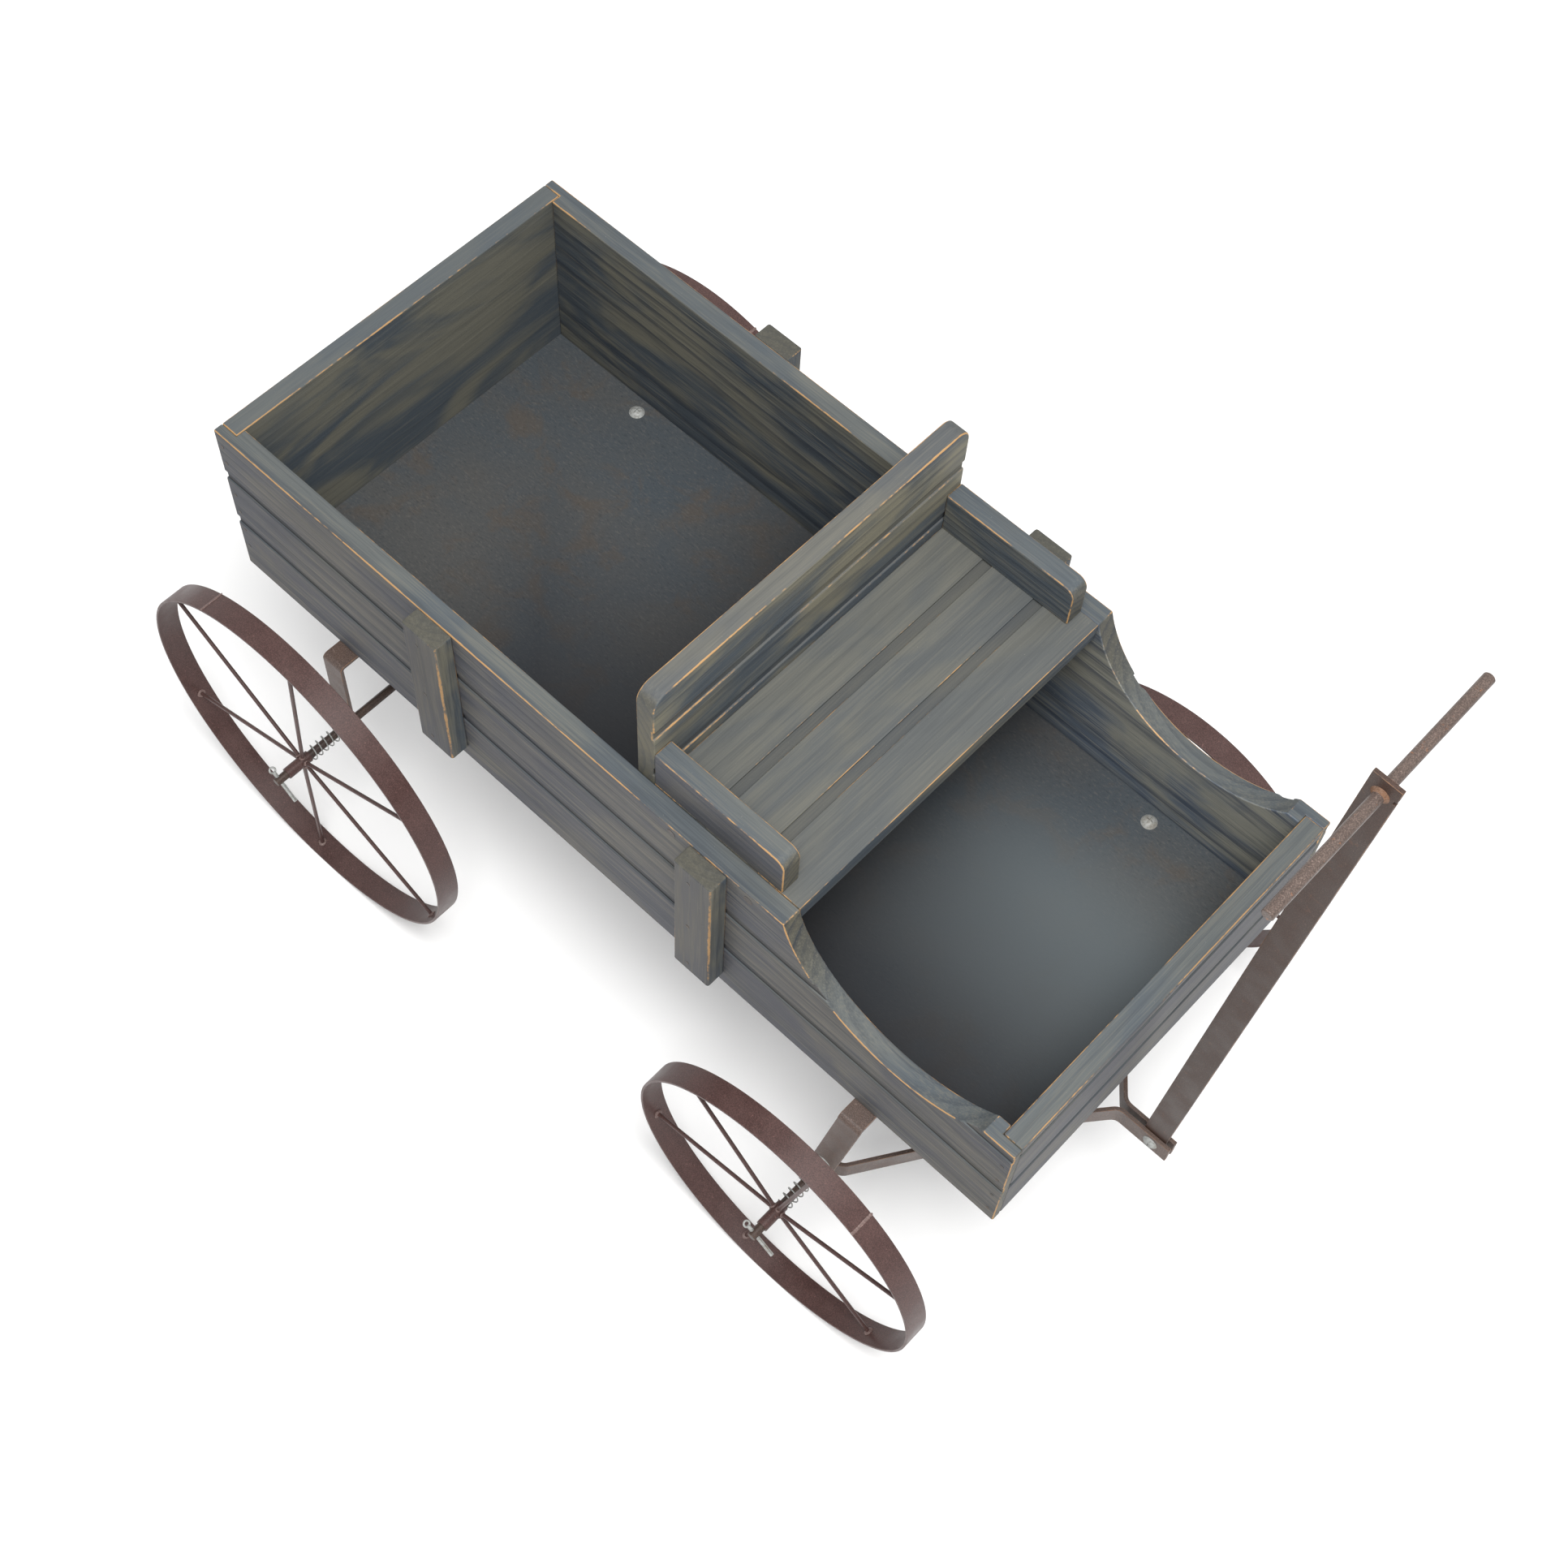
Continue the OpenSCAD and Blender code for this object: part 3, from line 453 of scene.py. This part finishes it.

# ---- Floor panel ----
# One smooth panel, stained darker than the boards, with brown mottling and fine fibres. Painted shade
# darkens it by the backrest and the right side board, and a painted pool of light lies in the front bay.
panel_stain_and_painted_light = bpy.data.materials.new("dark panel stain, painted shade and light")
panel_stain_and_painted_light.use_nodes = True
tree = panel_stain_and_painted_light.node_tree
place = tree.nodes.new("ShaderNodeTexCoord").outputs["Object"]
broad = cloud(tree, place, (7.0, 9.0, 9.0), 4.0, 0.55, 0.3)
mottle = cloud(tree, place, (26.0, 30.0, 30.0), 5.0, 0.62, 0.5)
fibre = cloud(tree, place, (260.0, 700.0, 700.0), 3.0, 0.7, 0.6)
grain = cloud(tree, place, (1500.0, 1500.0, 1500.0), 2.0)
stain = tint(tree, step(tree, broad, 0.35, 0.65), (0.052, 0.062, 0.071, 1), (0.066, 0.067, 0.066, 1))
stain = veil(tree, stain, step(tree, mottle, 0.48, 0.68), 0.55, (0.080, 0.062, 0.046, 1))
stain = veil(tree, stain, step(tree, fibre, 0.52, 0.70), 0.45, (0.115, 0.110, 0.102, 1))
stain = veil(tree, stain, step(tree, fibre, 0.46, 0.28), 0.5, (0.026, 0.030, 0.034, 1))
stain = veil(tree, stain, step(tree, grain, 0.70, 0.80), 0.4, (0.22, 0.21, 0.19, 1))
spot = tree.nodes.new("ShaderNodeSeparateXYZ")
tree.links.new(place, spot.inputs["Vector"])
back_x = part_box("backrest_board")[0].x
# Painted shade: the masks below darken the panel by the backrest and the right side board.
bay_x = sums(tree, "ABSOLUTE", sums(tree, "SUBTRACT", spot.outputs["X"], back_x))
open_side = step(tree, spot.outputs["Y"], -0.155, 0.09, 0.0, 1.0)
open_rear = step(tree, spot.outputs["X"], back_x - 0.10, back_x - 0.32)
open_side = sums(tree, "MAXIMUM", open_side, open_rear)
open_end = step(tree, bay_x, 0.0, 0.24, 0.15, 1.0)
painted_wall_shade = sums(tree, "SUBTRACT", 1.0, sums(tree, "MULTIPLY", open_side, open_end))
# Painted light: a pale bluish pool in the middle of the front bay.
painted_light_pool = step(tree, spot.outputs["X"], 0.08, 0.20, 0.0, 0.9)
light_pool_middle = step(tree, sums(tree, "ABSOLUTE", spot.outputs["Y"]), 0.13, 0.03)
painted_light_pool = sums(tree, "MULTIPLY", painted_light_pool, light_pool_middle)
stain = tint(tree, painted_light_pool, stain, (0.098, 0.114, 0.122, 1))
# Painted shade laid over the panel by the backrest and the right side board.
stain = veil(tree, stain, painted_wall_shade, 0.95, (0.012, 0.013, 0.016, 1))
shader = tree.nodes["Principled BSDF"]
shader.inputs["Specular IOR Level"].default_value = 0.2
tree.links.new(stain, shader.inputs["Base Color"])
tree.links.new(step(tree, mottle, 0.3, 0.7, 0.46, 0.60), shader.inputs["Roughness"])
tree.links.new(bumps(tree, fibre, 0.0002, 0.35), shader.inputs["Normal"])
panel = part_of("floor_panel", "floor_panel_board")
round_edges(panel, 0.0004)
settle(panel, panel_stain_and_painted_light, "chassis", "floor_board", "floor_panel")

# ---- Upright slats ----
# Four short battens nailed upright to the outsides of the box, end grain up, their outer
# corners rounded by hand.
pith_offsets = (0.012, -0.02, 0.016, -0.01)
for number, node in enumerate(("slat_rear_left", "slat_rear_right", "slat_front_left", "slat_front_right")):
    side = 1 if node.endswith("left") else -1
    low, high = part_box(node)
    slat = part_of(node, node + "_wood")
    edge_y = high.y if side > 0 else low.y
    round_edges(
        slat, 0.0011, 0.0022,
        lambda middle, way: abs(middle.y - edge_y) < 0.001 and abs(way.z) > 0.9,
        lambda place: 0.72 if place.z < high.z - 0.004 else 0.5,
    )
    pith = ((low.x + high.x) / 2 + pith_offsets[number], edge_y - side * 0.055, 0)
    pine = stained_pine(
        "stained pine, " + node.replace("_", " "), "Z", pith, (0, side, 0),
        rub=0.66, ring=0.0055, tone=0.86, lines=0.5,
    )
    settle(slat, pine, "chassis", "stained_wood", node)

# ---- Seat, backrest and armrests ----
# The seat and the backrest are one grooved stock, glued and screwed at a right angle; two
# small armrests with rounded noses stand on the seat's ends.
seat_low, seat_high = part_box("seat_board")
back_low, back_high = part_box("backrest_board")
seat_board = part_of("seat_board", "seat_board_wood")
# The last argument paints shade into the milled grooves.
round_edges(
    seat_board, 0.0008,
    wear=lambda place: 0.9 if place.x > seat_high.x - 0.003 else 0.66,
    painted_shade_depth=lambda place, facing: 0.0 if not in_groove(seat_high.z - place.z)
    else 0.95 if abs(facing.x) > 0.7 else 0.32,
)
pine = stained_pine(
    "stained pine, seat", "Y", ((seat_low.x + seat_high.x) / 2 + 0.02, 0, 0.33), (0, 0, -1),
    rub=0.66, ring=0.0095, tone=1.02, olive=0.45, lines=0.4, top=(0.096, 0.099, 0.094, 1),
)
settle(seat_board, pine, "chassis", "stained_wood", "seat_board")
back_board = part_of("backrest_board", "backrest_board_wood")
# The last argument paints shade into the milled grooves.
round_edges(
    back_board, 0.0014,
    wear=lambda place: 0.95 if place.z > back_high.z - 0.02 else 0.66,
    painted_shade_depth=lambda place, facing: 0.0 if not in_groove(back_high.x - place.x)
    else 0.95 if abs(facing.z) > 0.7 else 0.3,
)
pine = stained_pine(
    "stained pine, backrest", "Y", (back_low.x - 0.05, 0, back_low.z + 0.045), (-1, 0, 0),
    rub=0.68, ring=0.0065, tone=1.06, olive=0.6, lines=0.5, top=(0.087, 0.089, 0.088, 1),
)
settle(back_board, pine, "chassis", "stained_wood", "backrest_board")
for side, name in ((1, "left"), (-1, "right")):
    node = "armrest_" + name
    low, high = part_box(node)
    arm = part_of(node, node + "_wood")
    round_edges(arm, 0.0013)
    pith = (0, (low.y + high.y) / 2 - side * 0.02, low.z - 0.03)
    pine = stained_pine(
        "stained pine, armrest " + name, "X", pith, (0, side, 0), rub=0.62, tone=1.05, lines=0.7
    )
    settle(arm, pine, "chassis", "stained_wood", node)

# ---- Brackets, axles and tow straps ----
# Flat bar bent cold and round rod, dipped in a thin grey-brown lacquer that has gone
# orange-brown on the corners.
speckle, ins, outs = make_group(
    "iron speckle",
    [("Vector", "Vector", (0, 0, 0))],
    [("Cloud", "Float"), ("Speck", "Float"), ("Grit", "Float")],
)
tree = speckle
tree.links.new(cloud(tree, ins["Vector"], (45.0, 45.0, 45.0), 4.0, 0.6), outs["Cloud"])
tree.links.new(cloud(tree, ins["Vector"], (520.0, 520.0, 520.0), 3.0, 0.6), outs["Speck"])
tree.links.new(cloud(tree, ins["Vector"], (1300.0, 1300.0, 1300.0), 2.0, 0.6), outs["Grit"])


def lighter(colour, gain):
    """A colour made lighter, or darker where the gain is under 1."""
    return tuple(min(1, gain * part) for part in colour[:3]) + (1,)


def lacquered_iron(name, colour, warm, bare_colour, rub, roughness, rust=0.0):
    """Thin satin lacquer on mild steel: colour clouds into warm, specked, worn at the edges."""
    material = bpy.data.materials.new(name)
    material.use_nodes = True
    tree = material.node_tree
    shader = tree.nodes["Principled BSDF"]
    place = tree.nodes.new("ShaderNodeTexCoord").outputs["Object"]
    marks = tree.nodes.new("ShaderNodeGroup")
    marks.node_tree = speckle
    tree.links.new(place, marks.inputs["Vector"])
    worn = tree.nodes.new("ShaderNodeGroup")
    worn.node_tree = worn_edge
    worn.inputs["Amount"].default_value = rub
    tree.links.new(place, worn.inputs["Vector"])
    coat = tint(tree, step(tree, marks.outputs["Cloud"], 0.35, 0.68), colour, warm)
    grit = marks.outputs["Grit"]
    coat = veil(tree, coat, step(tree, grit, 0.50, 0.64), 0.5, lighter(colour, 2.1))
    coat = veil(tree, coat, step(tree, grit, 0.48, 0.36), 0.55, lighter(colour, 0.45))
    coat = veil(tree, coat, step(tree, marks.outputs["Speck"], 0.64, 0.72), 0.6, lighter(colour, 3.0))
    if rust:
        fleck = step(tree, cloud(tree, place, (160.0, 160.0, 160.0), 5.0, 0.7), 0.60, 0.68)
        coat = veil(tree, coat, fleck, rust, (0.34, 0.13, 0.045, 1))
    coat = veil(tree, coat, worn.outputs["Bare"], 0.8, bare_colour)
    tree.links.new(coat, shader.inputs["Base Color"])
    sheen = step(tree, marks.outputs["Cloud"], 0.3, 0.7, roughness - 0.06, roughness + 0.08)
    tree.links.new(sheen, shader.inputs["Roughness"])
    shader.inputs["Specular IOR Level"].default_value = 0.35
    tree.links.new(bumps(tree, marks.outputs["Grit"], 0.0001, 0.35), shader.inputs["Normal"])
    return material


strap_lacquer = lacquered_iron(
    "grey-brown lacquer", (0.078, 0.056, 0.048, 1), (0.088, 0.057, 0.045, 1), (0.24, 0.12, 0.055, 1),
    rub=0.62, roughness=0.42, rust=0.12,
)
axle_lacquer = lacquered_iron(
    "dark brown lacquer", (0.045, 0.030, 0.026, 1), (0.060, 0.038, 0.028, 1), (0.13, 0.08, 0.04, 1),
    rub=0.5, roughness=0.45, rust=0.25,
)
for node in ("rear_bracket", "front_bracket", "tow_strap_left", "tow_strap_right"):
    bar = part_of(node, node + "_bar")
    round_edges(bar, 0.0004)
    settle(bar, strap_lacquer, "chassis", "strap_iron", node)
for node in ("rear_axle", "front_axle"):
    rod = part_of(node, node + "_rod")
    round_edges(rod, 0.0004)
    settle(rod, axle_lacquer, "chassis", "strap_iron", node)

# ---- Wheels ----
# A rim of flat bar rolled to a hoop and butt-welded, six spokes of thin rod, and a short
# tube for a hub, all welded and sprayed one brown satin.
wheel_brown = lacquered_iron(
    "brown satin", (0.060, 0.031, 0.028, 1), (0.076, 0.041, 0.037, 1), (0.20, 0.13, 0.10, 1),
    rub=0.35, roughness=0.42,
)
weld_brown = lacquered_iron(
    "brown satin over weld", (0.125, 0.080, 0.072, 1), (0.16, 0.11, 0.10, 1), (0.26, 0.19, 0.16, 1),
    rub=0.4, roughness=0.45,
)


bpy.ops.object.select_all(action="DESELECT")
bpy.ops.mesh.primitive_uv_sphere_add(segments=10, ring_count=6, radius=1.0, location=(0, 0, 0))
pattern = bpy.context.object
bpy.ops.object.mode_set(mode="EDIT")
bpy.ops.mesh.select_all(action="SELECT")
bpy.ops.transform.vertex_random(offset=0.14, uniform=0.5, seed=4)
bpy.ops.mesh.subdivide(number_cuts=1, smoothness=1.0)
bpy.ops.object.mode_set(mode="OBJECT")
bpy.ops.object.shade_smooth()


def weld_drop(spot, angle, size, turn):
    """A copy of the one drop of weld, sized, and set at an angle round the axle."""
    drop = bpy.data.objects.new("drop", pattern.data.copy())
    scene.collection.objects.link(drop)
    drop.data.transform(
        Matrix.Translation(spot) @ Matrix.Rotation(-angle, 4, "Y")
        @ Matrix.Diagonal((*size, 1)) @ Matrix.Rotation(turn, 4, "X")
    )
    return drop


# How far the spokes' roots lie behind the hubs' outer ends, and their tips inside the rims' faces
spoke_inset = 0.0156
tip_inset = 0.0023
drops_across_rim = 9
butt_angles = {"rear_left": 76, "rear_right": 118, "front_left": 205, "front_right": 58}
spoke_turns = {"rear_left": 15, "rear_right": 26, "front_left": 50, "front_right": 17}
for number, wheel in enumerate(("rear_left", "rear_right", "front_left", "front_right")):
    side = 1 if wheel.endswith("left") else -1
    for part in ("rim", "spokes", "hub"):
        piece = part_of(wheel + "_" + part, wheel + "_" + part + "_iron")
        round_edges(piece, 0.0004 if part == "rim" else 0.0002)
        settle(piece, wheel_brown, wheel + "_wheel", "wheel_iron", wheel + "_" + part)
    low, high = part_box(wheel + "_rim")
    hub_low, hub_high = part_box(wheel + "_hub")
    middle = (low + high) / 2
    outer_r = (high.z - low.z) / 2
    hub_r = (hub_high.z - hub_low.z) / 2
    hub_out = hub_high.y if side > 0 else hub_low.y
    root_y = hub_out - side * spoke_inset
    drops = []
    for k in range(6):
        angle = math.radians(spoke_turns[wheel] + 60 * k)
        way = Vector((math.cos(angle), 0, math.sin(angle)))
        for spot, size in (
            (Vector((middle.x, middle.y, middle.z)) + way * (outer_r - tip_inset), (0.0012, 0.0034, 0.0030)),
            (Vector((middle.x, root_y, middle.z)) + way * (hub_r + 0.0006), (0.0011, 0.0024, 0.0020)),
        ):
            drops.append(weld_drop(spot, angle, size, 10 * number + 1.3 * k))
    angle = math.radians(butt_angles[wheel])
    for k in range(drops_across_rim):
        spot = middle + Vector((math.cos(angle), 0, math.sin(angle))) * (outer_r + 0.0001)
        spot.y = low.y + 0.0012 + (high.y - low.y - 0.0024) * k / (drops_across_rim - 1)
        drops.append(weld_drop(spot, angle, (0.00045, 0.0017, 0.0012), 9 * number + 1.3 * k))
    bpy.ops.object.select_all(action="DESELECT")
    for drop in drops:
        drop.select_set(True)
    bpy.context.view_layer.objects.active = drops[0]
    bpy.ops.object.join()
    welds = bpy.context.object
    welds.name = wheel + "_wheel_welds"
    settle(welds, weld_brown, wheel + "_wheel", "wheel_iron")
bpy.data.objects.remove(pattern)

# ---- Springs, pins, screws and nuts ----
# Zinc-plated steel gone matt: a loose coil spring and a cotter pin on each axle end, pan-headed
# machine screws and hexagon nuts.
zinc = bpy.data.materials.new("bright zinc")
zinc.use_nodes = True
tree = zinc.node_tree
place = tree.nodes.new("ShaderNodeTexCoord").outputs["Object"]
marks = tree.nodes.new("ShaderNodeGroup")
marks.node_tree = speckle
tree.links.new(place, marks.inputs["Vector"])
shader = tree.nodes["Principled BSDF"]
plating = tint(
    tree, step(tree, marks.outputs["Speck"], 0.40, 0.66), (0.36, 0.37, 0.36, 1), (0.25, 0.25, 0.235, 1)
)
plating = veil(tree, plating, step(tree, marks.outputs["Cloud"], 0.55, 0.7), 0.4, (0.20, 0.16, 0.11, 1))
tree.links.new(plating, shader.inputs["Base Color"])
tree.links.new(step(tree, marks.outputs["Speck"], 0.3, 0.7, 0.56, 0.70), shader.inputs["Roughness"])
shader.inputs["Metallic"].default_value = 0.2
shader.inputs["Specular IOR Level"].default_value = 0.3


def plated(node):
    """A node's own shape with its curved faces smoothed."""
    piece = part_of(node, node + "_plated")
    bpy.ops.object.shade_smooth_by_angle(angle=math.radians(40))
    settle(piece, zinc, "chassis", "zinc", node)


for wheel in ("rear_left", "rear_right", "front_left", "front_right"):
    for part in ("spring", "pin"):
        plated(wheel + "_" + part)
for node in ("floor_screws", "floor_nuts", "strap_screws", "strap_nuts", "pivot_screw", "pivot_nut"):
    plated(node)

# ---- Handle ----
# A long flat bar with a round cross grip welded through it, both lacquered brown; the grip is
# glossier, and flecked with rust where hands have held it.
handle_bar = part_of("handle_bar", "handle_bar_iron")
round_edges(handle_bar, 0.0004)
handle_lacquer = lacquered_iron(
    "handle lacquer", (0.043, 0.026, 0.020, 1), (0.049, 0.027, 0.020, 1), (0.24, 0.12, 0.055, 1),
    rub=0.55, roughness=0.45, rust=0.1,
)
settle(handle_bar, handle_lacquer, "handle", "strap_iron", "handle_bar")
grip_lacquer = lacquered_iron(
    "worn grip lacquer", (0.092, 0.068, 0.058, 1), (0.076, 0.054, 0.046, 1), (0.30, 0.17, 0.09, 1),
    rub=0.45, roughness=0.34, rust=0.6,
)
grip = part_of("handle_grip", "handle_grip_iron")
round_edges(grip, 0.0002)
settle(grip, grip_lacquer, "handle", "strap_iron", "handle_grip")
weld_rust = lacquered_iron(
    "rusty weld", (0.085, 0.058, 0.046, 1), (0.20, 0.095, 0.045, 1), (0.30, 0.15, 0.07, 1),
    rub=0.4, roughness=0.5, rust=0.7,
)
welds = part_of("handle_welds", "handle_welds_bead")
bpy.ops.object.shade_smooth_by_angle(angle=math.radians(50))
settle(welds, weld_rust, "handle", "rusty_weld", "handle_welds")

# ---- Nails and wood screws ----
# Dark steel nail heads set flush with the wood, and the countersunk screws of the seat.
nail_dark = lacquered_iron(
    "dark nail", (0.040, 0.036, 0.034, 1), (0.075, 0.055, 0.042, 1), (0.14, 0.10, 0.07, 1),
    rub=0.3, roughness=0.5, rust=0.3,
)
for node in ("seat_screws", "backrest_screws", "armrest_nails", "slat_nails", "corner_nails"):
    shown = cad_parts[node]
    shown.data.materials.clear()
    shown.data.materials.append(nail_dark)
